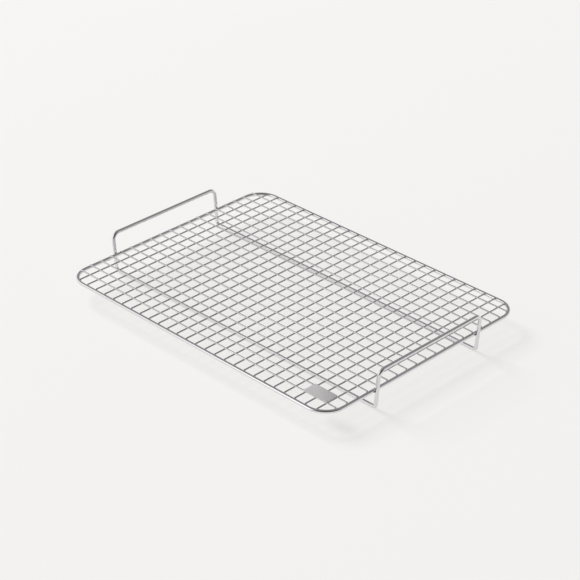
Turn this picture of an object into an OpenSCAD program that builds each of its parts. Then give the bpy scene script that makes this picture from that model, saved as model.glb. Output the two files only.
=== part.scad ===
// Cooling rack: a welded wire grid in a round-cornered rim, carried by two bent wires that
// are handle, legs and floor runners in one. Millimetres.
// X runs along the rack, Y across it, Z up. The origin is on the floor, under the middle.

/* [Rim] */
// Length of the rim over its wire
rim_length = 406; // [330:1:500]
// Width of the rim over its wire
rim_width = 305; // [240:1:370]
// Thickness of the rim wire
rim_wire_d = 4.2; // [3.4:0.1:5]
// Corner radius of the rim, at the middle of its wire
rim_corner_r = 25; // [20:0.5:32]
// Height of the middle of the rim above the floor
rim_height = 22.2; // [18:0.1:32]

/* [Grid] */
// Thickness of the grid wires
grid_wire_d = 1.8; // [1.4:0.1:2.2]
// Number of wires laid across the rack
cross_count = 26; // [16:1:30]
// Number of wires laid along the rack
long_count = 19; // [12:1:22]
// Gap from a short side of the rim to its first cross wire, middle to middle
end_gap = 15.9; // [12:0.1:19]
// Gap from a long side of the rim to its first long wire, middle to middle
side_gap = 16.3; // [12:0.1:19]
// Length of a long wire that reaches past the middle of the rim wire
long_overhang = 0.4; // [0:0.1:1.2]

/* [Handles and legs] */
// Thickness of the handle and leg wire
leg_wire_d = 4.2; // [3.4:0.1:5]
// Distance between the two legs of one handle, middle to middle
leg_spacing = 158; // [120:1:190]
// Height of the middle of the handle bar above the middle of the rim
handle_rise = 25.1; // [20:0.1:36]
// Outward lean of a handle and its legs, in degrees from upright
leg_lean = 5; // [0:0.5:9]
// Bend radius where a leg turns into the handle bar, at the middle of the wire
handle_bend_r = 8; // [6:0.5:12]
// Bend radius where a leg turns into its runner, at the middle of the wire
foot_bend_r = 4; // [3.5:0.5:9]

/* [Blank plate] */
// Length of the plate, along the rack
plate_length = 32; // [24:1:40]
// Width of the plate, across the rack
plate_width = 17.5; // [16.5:0.5:24]
// Thickness of the plate
plate_t = 0.8; // [0.5:0.1:1.2]
// Corner radius of the plate
plate_corner_r = 1.5; // [0.5:0.5:3]
// Number of wires from the right-hand end to the cross wire that the plate is centred over
plate_wires_in = 1; // [1:1:12]

/* [Welds] */
// Depth that a weld sinks one grid wire into another
grid_weld = 0.3; // [0.1:0.05:0.4]
// Depth that a weld sinks a long wire into the top of the rim
rim_weld = 0.15; // [0.1:0.05:0.3]
// Distance that the middle of a cross wire's end stops short of the rim; its lower half sinks in
end_short = 0.1; // [0:0.05:0.2]
// Depth that a weld sinks a leg into the outside of the rim
leg_weld = 0.7; // [0.3:0.05:0.8]
// Depth that a spot weld sinks the plate into a long wire
plate_weld = 0.03; // [0.01:0.01:0.03]

/* [Hidden] */
$fn = 64;

// Wire radii
rim_r = rim_wire_d / 2;
grid_r = grid_wire_d / 2;
leg_r = leg_wire_d / 2;

// The rim's middle line: half its length and half its width
rim_x = rim_length / 2 - rim_r;
rim_y = rim_width / 2 - rim_r;

// The long wires lie on top of the rim, and the cross wires are welded up under them
long_z = rim_height + rim_r + grid_r - rim_weld;
cross_z = long_z - grid_wire_d + grid_weld;
cross_x = rim_x - end_gap;
long_y = rim_y - side_gap;
cross_pitch = 2 * cross_x / (cross_count - 1);
long_pitch = 2 * long_y / (long_count - 1);

// At the height of the cross wires, the rim's inner surface is this far inside its middle line
cross_inset = sqrt(pow(rim_r, 2) - pow(cross_z - rim_height, 2));

// A leg's middle line leans out through this point beside the rim
leg_x = rim_x + rim_r + leg_r - leg_weld;
bar_z = rim_height + handle_rise;
bar_x = leg_x + handle_rise * tan(leg_lean);
leg_foot_x = leg_x - (rim_height - leg_r) * tan(leg_lean);
leg_length = (bar_z - leg_r) / cos(leg_lean);
// The foot bend turns through less than a right angle, because the leg leans
foot_turn = 90 - leg_lean;
foot_tangent = foot_bend_r * tan(foot_turn / 2);
runner_end_x = leg_foot_x - foot_tangent;
// A leg leans and its foot bend does not, so the two are joined through a small ball inside the
// wire: it is a hair wider than the wire, and each of them ends within it
ball_extra = 0.01;
ball_gap = 0.05;

// The plate lies over the first two long wires at the front, near the right-hand end
plate_x = cross_x - plate_wires_in * cross_pitch;
plate_y = -long_y + long_pitch / 2;
plate_z = long_z + grid_r - plate_weld;

CROSS = [for (i = [1:cross_count]) i];
LONG = [for (i = [1:long_count]) i];

// Two-digit numbers, so that the names sort in order
function two_digits(i) = i < 10 ? str("0", i) : str(i);
function cross_name(i) = str("cross_wire_", two_digits(i));
function long_name(i) = str("long_wire_", two_digits(i));

// Reach of a rounded rectangle's side, from the middle, at a distance along that side:
// half_reach and half_side are its half sizes, and r is its corner radius
function reach(at, half_reach, half_side, r) =
    let (past = max(0, abs(at) - (half_side - r)))
    half_reach - r + sqrt(pow(r, 2) - pow(past, 2));

// A straight wire along X, Y or Z, centred
module wire_x(length, d) {
    rotate([0, 90, 0]) cylinder(h = length, d = d, center = true);
}

module wire_y(length, d) {
    rotate([90, 0, 0]) cylinder(h = length, d = d, center = true);
}

// A bend in a round wire, in the XY plane, from angle start through angle turn
module wire_bend(r, d, start, turn) {
    rotate_extrude(angle = turn, start = start) translate([r, 0]) circle(d = d);
}

// The rim: four straight sides and four round corners, butt-welded into one ring
module rim_wire() {
    color("silver") translate([0, 0, rim_height]) union() {
        for (side = [-1, 1]) {
            translate([0, side * rim_y, 0]) wire_x(2 * (rim_x - rim_corner_r), rim_wire_d);
            translate([side * rim_x, 0, 0]) wire_y(2 * (rim_y - rim_corner_r), rim_wire_d);
        }
        for (quarter = [0:3]) {
            side_x = quarter == 0 || quarter == 3 ? 1 : -1;
            side_y = quarter < 2 ? 1 : -1;
            translate([side_x * (rim_x - rim_corner_r), side_y * (rim_y - rim_corner_r), 0])
                wire_bend(rim_corner_r, rim_wire_d, 90 * quarter, 90);
        }
    }
}

// One cross wire: it ends in the inner side of the rim
module cross_wire(i) {
    x = -cross_x + (i - 1) * cross_pitch;
    half = reach(x, rim_y - cross_inset, rim_x - cross_inset, rim_corner_r - cross_inset) - end_short;
    color("darkgray") translate([x, 0, cross_z]) wire_y(2 * half, grid_wire_d);
}

// One long wire: it lies over the cross wires and ends just past the crest of the rim
module long_wire(i) {
    y = -long_y + (i - 1) * long_pitch;
    half = long_overhang + reach(y, rim_x, rim_y, rim_corner_r);
    color("lightgray") translate([0, y, long_z]) wire_x(2 * half, grid_wire_d);
}

// The handle bar, its two bends and the straight legs, in the plane that leans outwards
module handle_and_legs() {
    bar_half = leg_spacing / 2 - handle_bend_r;
    straight = leg_length - handle_bend_r - foot_tangent;
    translate([bar_x, 0, bar_z]) rotate([0, leg_lean, 0]) {
        wire_y(2 * bar_half, leg_wire_d);
        for (side = [-1, 1]) {
            translate([0, side * bar_half, -handle_bend_r]) rotate([90, 0, 90])
                wire_bend(handle_bend_r, leg_wire_d, side > 0 ? 0 : 90, 90);
            translate([0, side * leg_spacing / 2, -handle_bend_r]) rotate([180, 0, 0])
                cylinder(h = straight - ball_gap, d = leg_wire_d);
            translate([0, side * leg_spacing / 2, -handle_bend_r - straight])
                sphere(r = leg_r + ball_extra);
        }
    }
}

// The two foot bends, and the runners as far as the butt weld at the middle of the rack
module feet_and_runners() {
    for (side = [-1, 1]) {
        translate([runner_end_x, side * leg_spacing / 2, leg_r + foot_bend_r]) rotate([90, 0, 0])
            wire_bend(foot_bend_r, leg_wire_d, -90, foot_turn);
        translate([0, side * leg_spacing / 2, leg_r]) rotate([0, 90, 0])
            cylinder(h = runner_end_x, d = leg_wire_d);
    }
}

// One bent wire: handle, legs and half of each runner
module right_handle_wire() {
    color("gainsboro") union() {
        handle_and_legs();
        feet_and_runners();
    }
}

module left_handle_wire() {
    color("gainsboro") mirror([1, 0, 0]) union() {
        handle_and_legs();
        feet_and_runners();
    }
}

// The plate: a plain strip with round corners, spot-welded on two long wires
module blank_plate() {
    corner_x = plate_length / 2 - plate_corner_r;
    corner_y = plate_width / 2 - plate_corner_r;
    color("gray") translate([plate_x, plate_y, plate_z]) linear_extrude(plate_t) union() {
        square([plate_length, 2 * corner_y], center = true);
        square([2 * corner_x, plate_width], center = true);
        for (side_x = [-1, 1], side_y = [-1, 1])
            translate([side_x * corner_x, side_y * corner_y]) circle(r = plate_corner_r);
    }
}

rim_wire();
left_handle_wire();
right_handle_wire();
blank_plate();
for (i = CROSS) cross_wire(i);
for (i = LONG) long_wire(i);
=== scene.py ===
import math

import bmesh
import bpy
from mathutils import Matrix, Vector


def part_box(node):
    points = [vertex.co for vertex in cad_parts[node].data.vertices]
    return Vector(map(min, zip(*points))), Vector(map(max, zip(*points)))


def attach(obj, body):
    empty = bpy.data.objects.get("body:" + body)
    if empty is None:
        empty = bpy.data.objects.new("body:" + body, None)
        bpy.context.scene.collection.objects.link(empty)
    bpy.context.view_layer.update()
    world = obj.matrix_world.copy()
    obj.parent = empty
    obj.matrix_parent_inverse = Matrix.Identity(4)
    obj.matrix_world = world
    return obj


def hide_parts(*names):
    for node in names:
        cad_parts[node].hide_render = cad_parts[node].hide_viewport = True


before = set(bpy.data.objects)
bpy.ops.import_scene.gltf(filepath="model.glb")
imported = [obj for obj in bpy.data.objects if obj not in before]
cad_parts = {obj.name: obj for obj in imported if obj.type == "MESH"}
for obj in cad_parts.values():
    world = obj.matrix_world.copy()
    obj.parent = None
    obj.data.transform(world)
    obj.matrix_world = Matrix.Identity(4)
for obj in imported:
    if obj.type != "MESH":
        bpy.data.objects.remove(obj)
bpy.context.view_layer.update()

print("stage: frame loaded,", len(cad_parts), "nodes")

scene = bpy.context.scene
mm = 0.001
closeBy = 0.001 * mm  # two places nearer than this are the same place


# small tools

def clearSelection():
    if bpy.context.object and bpy.context.object.mode != "OBJECT":
        bpy.ops.object.mode_set(mode="OBJECT")
    bpy.ops.object.select_all(action="DESELECT")


def startEdit(kind="VERT"):
    bpy.ops.object.mode_set(mode="EDIT")
    bpy.ops.mesh.select_mode(type=kind)


def pick(test, kind="VERT"):
    # in edit mode: selects the vertices, edges or faces for which test(item) is true
    bpy.ops.mesh.select_mode(type=kind)
    bpy.ops.mesh.select_all(action="DESELECT")
    shape = bmesh.from_edit_mesh(bpy.context.object.data)
    items = {"VERT": shape.verts, "EDGE": shape.edges, "FACE": shape.faces}[kind]
    for item in items:
        item.select_set(bool(test(item)))
    shape.select_flush_mode()
    bmesh.update_edit_mesh(bpy.context.object.data)


def settle(piece):
    # puts the piece's place into its mesh, so that its object sits at the origin
    clearSelection()
    piece.select_set(True)
    bpy.context.view_layer.objects.active = piece
    bpy.ops.object.transform_apply(location=True, rotation=True, scale=True)


def useModifier(piece, kind, **settings):
    # adds a modifier and applies it to the mesh
    modifier = piece.modifiers.new(kind.title(), kind)
    for key, value in settings.items():
        setattr(modifier, key, value)
    clearSelection()
    piece.select_set(True)
    bpy.context.view_layer.objects.active = piece
    bpy.ops.object.modifier_apply(modifier=modifier.name)


def finishMesh(piece, angle=35):
    clearSelection()
    piece.select_set(True)
    bpy.context.view_layer.objects.active = piece
    bpy.ops.object.shade_smooth_by_angle(angle=math.radians(angle))


def copyPiece(piece, name, move=(0, 0, 0)):
    # a copy with its own mesh, moved inside that mesh
    clearSelection()
    piece.select_set(True)
    bpy.context.view_layer.objects.active = piece
    bpy.ops.object.duplicate(linked=False)
    copy = bpy.context.object
    copy.name = name
    copy.data.name = name
    startEdit()
    bpy.ops.mesh.select_all(action="SELECT")
    bpy.ops.transform.translate(value=move)
    bpy.ops.object.mode_set(mode="OBJECT")
    return copy


def joinPieces(pieces, name):
    clearSelection()
    for piece in pieces:
        piece.select_set(True)
    bpy.context.view_layer.objects.active = pieces[0]
    bpy.ops.object.join()
    joined = bpy.context.object
    joined.name = name
    joined.data.name = name
    return joined


def place(piece, material, slotName, *nodes):
    # finish and body of a piece, and the CAD nodes that it stands for
    piece.data.materials.clear()
    piece.data.materials.append(material)
    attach(piece, "root")
    if nodes:
        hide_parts(*nodes)


# materials

def colour(hexValue):
    # sRGB hex to the linear colour that a shader takes
    channels = [int(hexValue[i:i + 2], 16) / 255 for i in (0, 2, 4)]
    return [c / 12.92 if c <= 0.04045 else ((c + 0.055) / 1.055) ** 2.4 for c in channels] + [1.0]


def addNode(tree, kind, settings=None, links=None):
    # one node with its settings (a socket by name or number, or a property) and its links
    node = tree.nodes.new(kind)
    for key, value in (settings or {}).items():
        if isinstance(key, str) and hasattr(node, key):
            setattr(node, key, value)
        else:
            node.inputs[key].default_value = value
    for key, source in (links or {}).items():
        tree.links.new(source, node.inputs[key])
    return node


def newMaterial(name):
    material = bpy.data.materials.new(name)
    material.use_nodes = True
    material.node_tree.nodes.clear()
    return material, material.node_tree


# one steel in three tones: lighter and darker copies that paint light and shade on each kind of wire
wireFinish = {
    "heavy": ("E7E5E8", "DDDBDE"),   # painted light: the thick wires are drawn lighter so that their reflections come out brighter
    "long": ("DDDBDD", "D2D0D2"),    # painted light: the long wires on top are drawn lighter
    "cross": ("C7C4C6", "BDBABC"),   # painted shade: the cross wires under them are drawn greyer
    "roughness": 0.15,
    "roughnessSpread": 0.04,
    "grain": 0.35,       # mm, pits of the electropolish: the real 0.05 mm drawn coarser, so that they show
    "handling": 22.0,    # mm, patches where the polish is a little duller
    "bump": 0.02,
}


def drawnWireSteel(name, tones):
    # Drawn stainless steel wire, electropolished: bright and smooth, with a soft edge to every reflection.
    # Very fine pits break the highlights, and broad patches of duller polish change them along a wire.
    material, tree = newMaterial(name)
    place3d = addNode(tree, "ShaderNodeTexCoord")
    patches = addNode(tree, "ShaderNodeTexNoise",
                      {"Scale": 1000 / wireFinish["handling"], "Detail": 3.0, "Roughness": 0.55},
                      {"Vector": place3d.outputs["Object"]})
    pits = addNode(tree, "ShaderNodeTexNoise",
                   {"Scale": 1000 / wireFinish["grain"], "Detail": 2.0, "Roughness": 0.6},
                   {"Vector": place3d.outputs["Object"]})
    tone = addNode(tree, "ShaderNodeMix",
                   {"data_type": "RGBA", 6: colour(tones[0]), 7: colour(tones[1])},
                   {0: patches.outputs["Fac"]})
    dull = addNode(tree, "ShaderNodeMapRange",
                   {"From Min": 0.3, "From Max": 0.7,
                    "To Min": wireFinish["roughness"] - wireFinish["roughnessSpread"],
                    "To Max": wireFinish["roughness"] + wireFinish["roughnessSpread"]},
                   {"Value": patches.outputs["Fac"]})
    bump = addNode(tree, "ShaderNodeBump", {"Strength": wireFinish["bump"], "Distance": 0.05 * mm},
                   {"Height": pits.outputs["Fac"]})
    shader = addNode(tree, "ShaderNodeBsdfPrincipled", {"Metallic": 1.0},
                     {"Base Color": tone.outputs[2], "Roughness": dull.outputs["Result"],
                      "Normal": bump.outputs["Normal"]})
    addNode(tree, "ShaderNodeOutputMaterial", {}, {"Surface": shader.outputs["BSDF"]})
    return material


weldFinish = {
    "grid": ("D6D3D4", "B9B6B7"),    # small welds, polished along with the wires
    "leg": ("B5B2B3", "8C898A"),     # painted shade: the welds beside the legs are drawn dark to stand for the shadow in the crevice
    "roughness": 0.36,
    "grain": 0.6,        # mm, ripples of the set metal
    "bump": 0.15,
}


def weldSteel(name, tones):
    # Resistance-weld metal: the same steel, melted and set again, so it is duller and greyer than the wire.
    material, tree = newMaterial(name)
    place3d = addNode(tree, "ShaderNodeTexCoord")
    ripple = addNode(tree, "ShaderNodeTexNoise",
                     {"Scale": 1000 / weldFinish["grain"], "Detail": 3.0, "Roughness": 0.6},
                     {"Vector": place3d.outputs["Object"]})
    tone = addNode(tree, "ShaderNodeMix",
                   {"data_type": "RGBA", 6: colour(tones[0]), 7: colour(tones[1])},
                   {0: ripple.outputs["Fac"]})
    bump = addNode(tree, "ShaderNodeBump", {"Strength": weldFinish["bump"], "Distance": 0.1 * mm},
                   {"Height": ripple.outputs["Fac"]})
    shader = addNode(tree, "ShaderNodeBsdfPrincipled",
                     {"Metallic": 1.0, "Roughness": weldFinish["roughness"]},
                     {"Base Color": tone.outputs[2], "Normal": bump.outputs["Normal"]})
    addNode(tree, "ShaderNodeOutputMaterial", {}, {"Surface": shader.outputs["BSDF"]})
    return material


plateFinish = {
    "steel": "E9E6E7",
    "steelShade": "D8D5D6",
    "metallic": 0.55,    # a matt blasted skin over the steel scatters about half of the light
    "roughness": 0.60,
    "line": 0.35,        # mm between brushed lines, drawn coarser than the real 0.1 mm so that they show
    "lineLength": 9.0,   # mm
    "bump": 0.05,
}


def satinSheetSteel(name):
    # Satin stainless steel sheet, brushed lengthways: an even soft grey with faint lines along its length.
    material, tree = newMaterial(name)
    place3d = addNode(tree, "ShaderNodeTexCoord")
    along = 1000 / plateFinish["lineLength"]
    across = 1000 / plateFinish["line"]
    stretch = addNode(tree, "ShaderNodeMapping", {"vector_type": "POINT", "Scale": (along, across, across)},
                      {"Vector": place3d.outputs["Object"]})
    lines = addNode(tree, "ShaderNodeTexNoise", {"Scale": 1.0, "Detail": 3.0, "Roughness": 0.6},
                    {"Vector": stretch.outputs["Vector"]})
    tones = {"data_type": "RGBA", 6: colour(plateFinish["steel"]), 7: colour(plateFinish["steelShade"])}
    tone = addNode(tree, "ShaderNodeMix", tones, {0: lines.outputs["Fac"]})
    bump = addNode(tree, "ShaderNodeBump", {"Strength": plateFinish["bump"], "Distance": 0.05 * mm},
                   {"Height": lines.outputs["Fac"]})
    shader = addNode(tree, "ShaderNodeBsdfPrincipled",
                     {"Metallic": plateFinish["metallic"], "Roughness": plateFinish["roughness"]},
                     {"Base Color": tone.outputs[2], "Normal": bump.outputs["Normal"]})
    addNode(tree, "ShaderNodeOutputMaterial", {}, {"Surface": shader.outputs["BSDF"]})
    return material


# lit and shaded copies of one steel: the tones are painted light and shade, the metal is the same
heavyWireLitSteel = drawnWireSteel("electropolishedHeavyWireLit", wireFinish["heavy"])
longWireLitSteel = drawnWireSteel("electropolishedLongWireLit", wireFinish["long"])
crossWireShadedSteel = drawnWireSteel("electropolishedCrossWireShaded", wireFinish["cross"])
gridWeldMetal = weldSteel("resistanceWeldMetal", weldFinish["grid"])
# the leg welds' dark tone is painted shade of the crevice beside each leg
legWeldShadeMetal = weldSteel("legWeldPaintedShade", weldFinish["leg"])
plateSteel = satinSheetSteel("satinPlateSteel")
print("stage: materials made")


# heavy wires: drawn out straight and spun round their bends

def wireRun(name, start, heading, radius, steps, sides=32, bendSteps=14, closed=False):
    # a ring is added at the start, then each step draws it out straight or spins it towards a new heading
    heading = Vector(heading).normalized()
    position = Vector(start)
    clearSelection()
    bpy.ops.mesh.primitive_circle_add(vertices=sides, radius=radius, fill_type="NOTHING", location=position,
                                      rotation=heading.to_track_quat("Z", "Y").to_euler())
    piece = bpy.context.object
    piece.name = name
    piece.data.name = name
    settle(piece)
    startEdit("EDGE")
    bpy.ops.mesh.select_all(action="SELECT")
    for step in steps:
        if "length" in step:
            move = heading * step["length"]
            bpy.ops.mesh.extrude_edges_move(TRANSFORM_OT_translate={"value": move})
            position += move
        else:
            toward = Vector(step["toward"]).normalized()
            axis = heading.cross(toward).normalized()
            centre = position + axis.cross(heading) * step["radius"]
            turn = heading.angle(toward)
            # spin turns clockwise round its axis, so the angle is negative
            bpy.ops.mesh.spin(steps=bendSteps, angle=-turn, center=centre, axis=axis)
            position = centre + toward.cross(axis) * step["radius"]
            heading = toward
    if closed:
        bpy.ops.mesh.select_all(action="SELECT")
        bpy.ops.mesh.remove_doubles(threshold=0.02 * mm)
    else:
        bpy.ops.mesh.edge_face_add()
        pick(lambda edge: edge.is_boundary, "EDGE")
        bpy.ops.mesh.edge_face_add()
    bpy.ops.mesh.select_all(action="SELECT")
    bpy.ops.mesh.normals_make_consistent(inside=False)
    bpy.ops.object.mode_set(mode="OBJECT")
    finishMesh(piece)
    print("  wire", name, "ends at", [round(c * 1000, 2) for c in position])
    return piece


rimLow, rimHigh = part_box("rim_wire")
rim = {"cornerRadius": 25 * mm, "wireRadius": 2.1 * mm}
rim["x"] = rimHigh.x - rim["wireRadius"]
rim["y"] = rimHigh.y - rim["wireRadius"]
rim["z"] = (rimLow.z + rimHigh.z) / 2

acrossX = 2 * (rim["x"] - rim["cornerRadius"])
acrossY = 2 * (rim["y"] - rim["cornerRadius"])
rimRing = wireRun(
    "rimRing", (-acrossX / 2, -rim["y"], rim["z"]), (1, 0, 0), rim["wireRadius"],
    [{"length": acrossX}, {"toward": (0, 1, 0), "radius": rim["cornerRadius"]},
     {"length": acrossY}, {"toward": (-1, 0, 0), "radius": rim["cornerRadius"]},
     {"length": acrossX}, {"toward": (0, -1, 0), "radius": rim["cornerRadius"]},
     {"length": acrossY}, {"toward": (1, 0, 0), "radius": rim["cornerRadius"]}],
    bendSteps=24, closed=True)
place(rimRing, heavyWireLitSteel, "heavy_wire", "rim_wire")

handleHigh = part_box("right_handle_wire")[1]
handle = {"lean": math.radians(5), "topBend": 8 * mm, "footBend": 4 * mm, "wireRadius": 2.1 * mm}
handle["y"] = handleHigh.y - handle["wireRadius"]
handle["barZ"] = handleHigh.z - handle["wireRadius"]
handle["barX"] = handleHigh.x - handle["wireRadius"]
handle["floorZ"] = handle["wireRadius"]


def handleWire(name, side):
    # one bent wire: runner, foot, leg, bar, leg, foot, runner
    up = Vector((side * math.sin(handle["lean"]), 0, math.cos(handle["lean"])))
    rise = handle["barZ"] - handle["floorZ"]
    footX = handle["barX"] - rise * math.tan(handle["lean"])  # where the leg's line meets the runner's
    footTangent = handle["footBend"] * math.tan((math.pi / 2 - handle["lean"]) / 2)
    legLength = rise / math.cos(handle["lean"]) - handle["topBend"] - footTangent
    out = (side, 0, 0)
    back = (-side, 0, 0)
    return wireRun(
        name, (0, -handle["y"], handle["floorZ"]), out, handle["wireRadius"],
        [{"length": footX - footTangent}, {"toward": up, "radius": handle["footBend"]},
         {"length": legLength}, {"toward": (0, 1, 0), "radius": handle["topBend"]},
         {"length": 2 * (handle["y"] - handle["topBend"])}, {"toward": -up, "radius": handle["topBend"]},
         {"length": legLength}, {"toward": back, "radius": handle["footBend"]},
         {"length": footX - footTangent}])


for side, word in ((-1, "left"), (1, "right")):
    place(handleWire(word + "HandleWire", side), heavyWireLitSteel, "heavy_wire", word + "_handle_wire")
print("stage: heavy wires drawn")


# grid wires: one straight wire is modelled, the rest are its copies

grid = {
    "wireRadius": 0.9 * mm,
    "sides": 16,
    "endRound": 0.3 * mm,
    "pressedLength": 1.2 * mm,   # of a long wire's end that the welder's electrode pressed down on the rim
    "pressedDrop": 0.35 * mm,
    "pressedSize": 0.72,         # share of the wire's thickness that is left at the very end
}
crossNodes = sorted(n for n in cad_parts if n.startswith("cross_wire_"))
longNodes = sorted(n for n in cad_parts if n.startswith("long_wire_"))


def straightWire(name, middle, length, alongX):
    axis = 0 if alongX else 1
    turn = (0, math.pi / 2, 0) if alongX else (math.pi / 2, 0, 0)
    clearSelection()
    bpy.ops.mesh.primitive_cylinder_add(vertices=grid["sides"], radius=grid["wireRadius"], depth=length,
                                        location=middle, rotation=turn)
    piece = bpy.context.object
    piece.name = name
    piece.data.name = name
    settle(piece)
    startEdit("EDGE")
    if alongX:
        pressWireEnds(middle, length)
    pick(lambda edge: abs(abs(edge.verts[0].co[axis] - middle[axis]) - length / 2) < closeBy
         and abs(edge.verts[0].co[axis] - edge.verts[1].co[axis]) < closeBy, "EDGE")
    bpy.ops.mesh.bevel(offset=grid["endRound"], segments=2, profile=0.5, affect="EDGES")
    bpy.ops.object.mode_set(mode="OBJECT")
    finishMesh(piece)
    return piece


def pressWireEnds(middle, length):
    # both ends get a new ring, then the outermost ring is made smaller and lower
    for side in (-1, 1):
        bpy.ops.mesh.select_all(action="SELECT")
        ringX = middle.x + side * (length / 2 - grid["pressedLength"])
        bpy.ops.mesh.bisect(plane_co=(ringX, 0, 0), plane_no=(1, 0, 0))
        pick(lambda vert: abs(vert.co.x - middle.x - side * length / 2) < closeBy)
        size = grid["pressedSize"]
        bpy.ops.transform.resize(value=(1, size, size), center_override=middle)
        bpy.ops.transform.translate(value=(0, 0, -grid["pressedDrop"]))


def layWires(nodes, alongX):
    made = {}
    for node in nodes:
        low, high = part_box(node)
        middle = (low + high) / 2
        axis = 0 if alongX else 1
        length = round(high[axis] - low[axis], 5)
        words = node.split("_")
        name = words[0] + "Wire" + words[2]
        if length in made:
            first, firstMiddle = made[length]
            piece = copyPiece(first, name, middle - firstMiddle)
        else:
            piece = straightWire(name, middle, high[axis] - low[axis], alongX)
            made[length] = (piece, middle)
        place(piece, longWireLitSteel if alongX else crossWireShadedSteel, "grid_wire", node)


layWires(crossNodes, alongX=False)
layWires(longNodes, alongX=True)
print("stage: grid wires laid,", len(crossNodes), "across and", len(longNodes), "along")


# weld metal: pillows squeezed out at the grid's welds, beads beside the legs

weld = {
    "pillowRadius": 1.45 * mm,
    "pillowHeight": 0.7 * mm,
    "crestDrop": 0.15 * mm,      # a long wire's pillow, under the rim's crest
    "sideDrop": 0.45 * mm,       # a cross wire's pillow at the rim, under the middle of the wire
    "beadSize": (2.0 * mm, 2.6 * mm, 2.0 * mm),
    "beadOut": 2.3 * mm,         # from the middle of the rim's wire, outwards to the leg
    "beadBeside": 2.5 * mm,      # from the middle of the leg, along the rim
    "beadDrop": 0.2 * mm,        # under the middle of the rim
    "lumps": 1.1 * mm,
    "lumpHeight": 0.5 * mm,
}


def weldPillow(name, middle):
    # eight sides, with a smaller face raised above and another below
    sideHeight = weld["pillowHeight"] * 0.4
    crownHeight = weld["pillowHeight"] * 0.3
    crownInset = weld["pillowRadius"] * 0.45
    clearSelection()
    bpy.ops.mesh.primitive_cylinder_add(vertices=8, radius=weld["pillowRadius"], depth=sideHeight,
                                        location=middle, rotation=(0, 0, math.pi / 8))
    piece = bpy.context.object
    piece.name = name
    piece.data.name = name
    settle(piece)
    startEdit("FACE")
    for up in (1, -1):
        pick(lambda face: face.normal.z * up > 0.9, "FACE")
        bpy.ops.mesh.inset(thickness=crownInset)
        bpy.ops.transform.translate(value=(0, 0, up * crownHeight))
    bpy.ops.object.mode_set(mode="OBJECT")
    finishMesh(piece, angle=80)
    return piece


firstCrossLow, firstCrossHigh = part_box(crossNodes[0])
firstLongLow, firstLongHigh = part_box(longNodes[0])
crossPitch = (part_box(crossNodes[-1])[0].x - firstCrossLow.x) / (len(crossNodes) - 1)
longPitch = (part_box(longNodes[-1])[0].y - firstLongLow.y) / (len(longNodes) - 1)
crossX = (firstCrossLow.x + firstCrossHigh.x) / 2
crossZ = (firstCrossLow.z + firstCrossHigh.z) / 2
longY = (firstLongLow.y + firstLongHigh.y) / 2
longZ = (firstLongLow.z + firstLongHigh.z) / 2

gridWelds = weldPillow("gridWelds", (crossX, longY, (crossZ + longZ) / 2))
useModifier(gridWelds, "ARRAY", count=len(crossNodes), use_relative_offset=False, use_constant_offset=True,
            constant_offset_displace=(crossPitch, 0, 0))
useModifier(gridWelds, "ARRAY", count=len(longNodes), use_relative_offset=False, use_constant_offset=True,
            constant_offset_displace=(0, longPitch, 0))
place(gridWelds, gridWeldMetal, "grid_wire")

# where a wire's end meets the rim: under a long wire on the rim's crest, round a cross wire on its inner side
rimTop = rim["z"] + rim["wireRadius"]
rimWeldPlaces = []
for node in longNodes:
    low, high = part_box(node)
    for x in (low.x + grid["pressedLength"], high.x - grid["pressedLength"]):
        rimWeldPlaces.append(Vector((x, (low.y + high.y) / 2, rimTop - weld["crestDrop"])))
for node in crossNodes:
    low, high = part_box(node)
    for y in (low.y, high.y):
        rimWeldPlaces.append(Vector(((low.x + high.x) / 2, y, crossZ - weld["sideDrop"])))
rimPillows = [weldPillow("rimWelds", rimWeldPlaces[0])]
for spot in rimWeldPlaces[1:]:
    rimPillows.append(copyPiece(rimPillows[0], "rimWelds", spot - rimWeldPlaces[0]))
rimWelds = joinPieces(rimPillows, "rimWelds")
place(rimWelds, gridWeldMetal, "grid_wire")


def legBead(name, middle):
    # a lump of metal squeezed out of the weld between a leg and the rim: a unit ball, scaled and dented
    clearSelection()
    bpy.ops.mesh.primitive_ico_sphere_add(subdivisions=4, radius=0.5, location=middle)
    piece = bpy.context.object
    piece.name = name
    piece.scale = weld["beadSize"]
    settle(piece)
    lumps = bpy.data.textures.new("beadLumps", "CLOUDS")
    lumps.noise_scale = weld["lumps"]
    useModifier(piece, "DISPLACE", texture=lumps, texture_coords="GLOBAL", strength=weld["lumpHeight"],
                mid_level=0.6)
    finishMesh(piece, angle=60)
    return piece


beadX = rim["x"] + weld["beadOut"]
beadZ = rim["z"] - weld["beadDrop"]
beads = []
for sideX in (-1, 1):
    for sideY in (-1, 1):
        beadY = sideY * handle["y"] - weld["beadBeside"]
        beads.append(legBead("legWelds", (sideX * beadX, beadY, beadZ)))
legWelds = joinPieces(beads, "legWelds")
# the beads are weld metal, and their dark tone is painted shade of the crevice beside each leg
place(legWelds, legWeldShadeMetal, "heavy_wire")
print("stage: weld metal added at", len(crossNodes) * len(longNodes), "crossings,", len(rimWeldPlaces),
      "wire ends and", len(beads), "legs")


# blank plate

plateLow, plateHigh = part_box("blank_plate")
plate = {"cornerRadius": 1.5 * mm, "edgeRound": 0.15 * mm}


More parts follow.
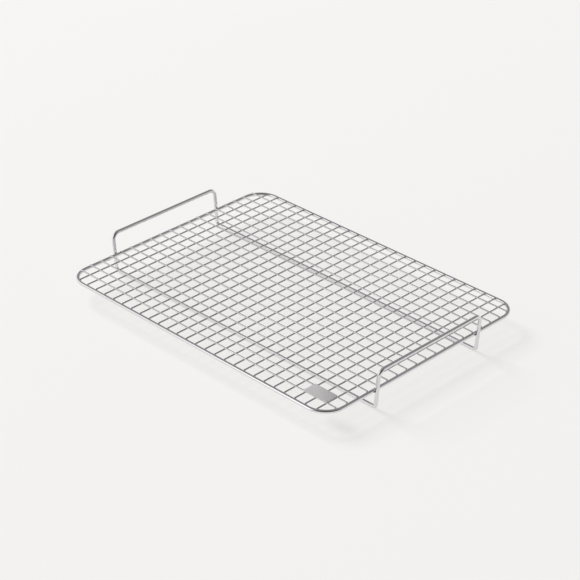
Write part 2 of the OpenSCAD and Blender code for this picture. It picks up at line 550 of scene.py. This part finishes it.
def blankPlate():
    size = plateHigh - plateLow
    middle = (plateLow + plateHigh) / 2
    clearSelection()
    bpy.ops.mesh.primitive_plane_add(size=1, location=(middle.x, middle.y, plateLow.z))
    piece = bpy.context.object
    piece.name = "blankPlate"
    piece.scale = (size.x, size.y, 1)
    settle(piece)
    startEdit()
    bpy.ops.mesh.select_all(action="SELECT")
    bpy.ops.mesh.bevel(offset=plate["cornerRadius"], segments=6, profile=0.5, affect="VERTICES")
    bpy.ops.mesh.select_all(action="SELECT")
    bpy.ops.mesh.extrude_region_move(TRANSFORM_OT_translate={"value": (0, 0, size.z)})
    bpy.ops.mesh.select_all(action="SELECT")
    bpy.ops.mesh.normals_make_consistent(inside=False)
    pick(lambda edge: abs(edge.verts[0].co.z - edge.verts[1].co.z) < closeBy, "EDGE")
    bpy.ops.mesh.bevel(offset=plate["edgeRound"], segments=2, profile=0.5, affect="EDGES")
    bpy.ops.object.mode_set(mode="OBJECT")
    finishMesh(piece)
    return piece


place(blankPlate(), plateSteel, "plate", "blank_plate")
print("stage: plate made")


# floor, light and camera

studio = {
    "floorSize": 24.0,
    "floor": "F5F4F2",
    "floorGlow": 0.72,            # share of the floor's tone that is lit from behind, so shadows stay light
    "horizon": 0.92,              # radiance of the studio near the floor
    "upperAir": 0.28,             # and above it
    "horizonTop": 0.42,           # sine of the elevation where the upper air begins
    "wallMiddle": (-0.707, -0.707, 0),
    "wallSides": (0.45, 0.75),    # cosine of the angle from its middle where the wall begins and is full
    "wallTop": 0.66,              # sine of the elevation of its upper edge
    "wallBlur": 0.1,              # and how soft that edge is
    "wallEnds": (0.53, 0.66),     # cosine of the angle from the left, at its near and far ends
    "wall": (1.75, 1.08),         # radiance of the wall at those ends
    "flagMiddle": (0.707, -0.707, 0),
    "flagSides": (0.25, 0.65),    # cosine of the angle from its middle where the screen begins and is full
    "flag": 0.22,                 # share of light left by the screen
}
keyLamp = {"from": (-1.0, 0.0, 0.75), "distance": 12.0, "size": 4.4, "radiance": 22.0}   # casts the shadows
fillLamp = {"from": (0, 0, 1), "distance": 9.0, "size": 9.0, "radiance": 0.25}           # softens them

clearSelection()
bpy.ops.mesh.primitive_plane_add(size=studio["floorSize"], location=(0, 0, 0))
floor = bpy.context.object
floor.name = "paleFloor"
floorPaint, floorTree = newMaterial("backlitWhiteFloor")
floorGlow = addNode(floorTree, "ShaderNodeEmission", {"Color": colour(studio["floor"]), "Strength": 1.0})
floorMatte = addNode(floorTree, "ShaderNodeBsdfDiffuse", {"Color": colour(studio["floor"])})
floorMix = addNode(floorTree, "ShaderNodeMixShader", {0: 1 - studio["floorGlow"]},
                   {1: floorGlow.outputs[0], 2: floorMatte.outputs[0]})
addNode(floorTree, "ShaderNodeOutputMaterial", {}, {"Surface": floorMix.outputs[0]})
floor.data.materials.append(floorPaint)


def softbox(name, lamp):
    # a square panel that faces the rack, screened off from the polished wires
    light = bpy.data.lights.new(name, "AREA")
    light.shape = "SQUARE"
    light.size = lamp["size"]
    light.energy = lamp["radiance"] * math.pi * lamp["size"] ** 2
    panel = bpy.data.objects.new(name, light)
    scene.collection.objects.link(panel)
    where = Vector(lamp["from"]).normalized()
    panel.location = where * lamp["distance"]
    panel.rotation_euler = where.to_track_quat("Z", "Y").to_euler()
    panel.visible_glossy = False


softbox("keySoftbox", keyLamp)
softbox("fillSoftbox", fillLamp)

# the studio's air: pale near the floor and greyer above, a pale wall at the left and a dark screen in front
world = bpy.data.worlds.new("studioAir")
scene.world = world
world.use_nodes = True
air = world.node_tree
air.nodes.clear()
airPlace = addNode(air, "ShaderNodeTexCoord").outputs["Generated"]
airHeight = addNode(air, "ShaderNodeSeparateXYZ", {}, {0: airPlace}).outputs["Z"]


def ramp(source, start, end, before, after):
    # turns smoothly from one value to another between two readings of the source
    settings = {"interpolation_type": "SMOOTHSTEP", "From Min": start, "From Max": end,
                "To Min": before, "To Max": after}
    return addNode(air, "ShaderNodeMapRange", settings, {"Value": source}).outputs["Result"]


def towards(direction):
    # 1 straight towards a direction, 0 square to it
    settings = {"operation": "DOT_PRODUCT", 1: direction}
    return addNode(air, "ShaderNodeVectorMath", settings, {0: airPlace}).outputs["Value"]


def multiply(first, second):
    return addNode(air, "ShaderNodeMath", {"operation": "MULTIPLY"}, {0: first, 1: second}).outputs["Value"]


airTone = ramp(airHeight, 0.0, studio["horizonTop"], studio["horizon"], studio["upperAir"])
wallAcross = ramp(towards(studio["wallMiddle"]), *studio["wallSides"], 0, 1)
wallUp = ramp(airHeight, studio["wallTop"] - studio["wallBlur"], studio["wallTop"] + studio["wallBlur"], 1, 0)
wallShade = ramp(towards((-1, 0, 0)), *studio["wallEnds"], *studio["wall"])
walled = addNode(air, "ShaderNodeMix", {}, {0: multiply(wallAcross, wallUp), 2: airTone, 3: wallShade})
screen = ramp(towards(studio["flagMiddle"]), *studio["flagSides"], 1, studio["flag"])
airLight = addNode(air, "ShaderNodeBackground", {"Color": colour("FFFFFF")},
                   {"Strength": multiply(walled.outputs[0], screen)})
addNode(air, "ShaderNodeOutputWorld", {}, {"Surface": airLight.outputs["Background"]})
scene.view_settings.view_transform = "Standard"

view = {
    "lens": 120.58,               # mm, on a sensor 36 mm wide
    "turn": math.radians(45),     # from the front towards the right
    "rise": math.radians(30),
    "distance": 2.1493,
    "aim": Vector((0, 0, 23.55 * mm)),
    "right": -0.12 * mm,          # small moves that centre the rack in the view
    "up": 1.63 * mm,
}

camera = bpy.data.cameras.new("camera")
camera.sensor_width = 36
camera.lens = view["lens"]
cameraObject = bpy.data.objects.new("camera", camera)
scene.collection.objects.link(cameraObject)
rightwards = Vector((math.cos(view["turn"]), math.sin(view["turn"]), 0))
levelBack = rightwards.cross(Vector((0, 0, 1)))
backwards = levelBack * math.cos(view["rise"]) + Vector((0, 0, math.sin(view["rise"])))
upwards = backwards.cross(rightwards)
cameraObject.location = (view["aim"] + backwards * view["distance"] + rightwards * view["right"]
                         + upwards * view["up"])
cameraObject.rotation_euler = backwards.to_track_quat("Z", "Y").to_euler()
scene.camera = cameraObject
print("stage: studio set")
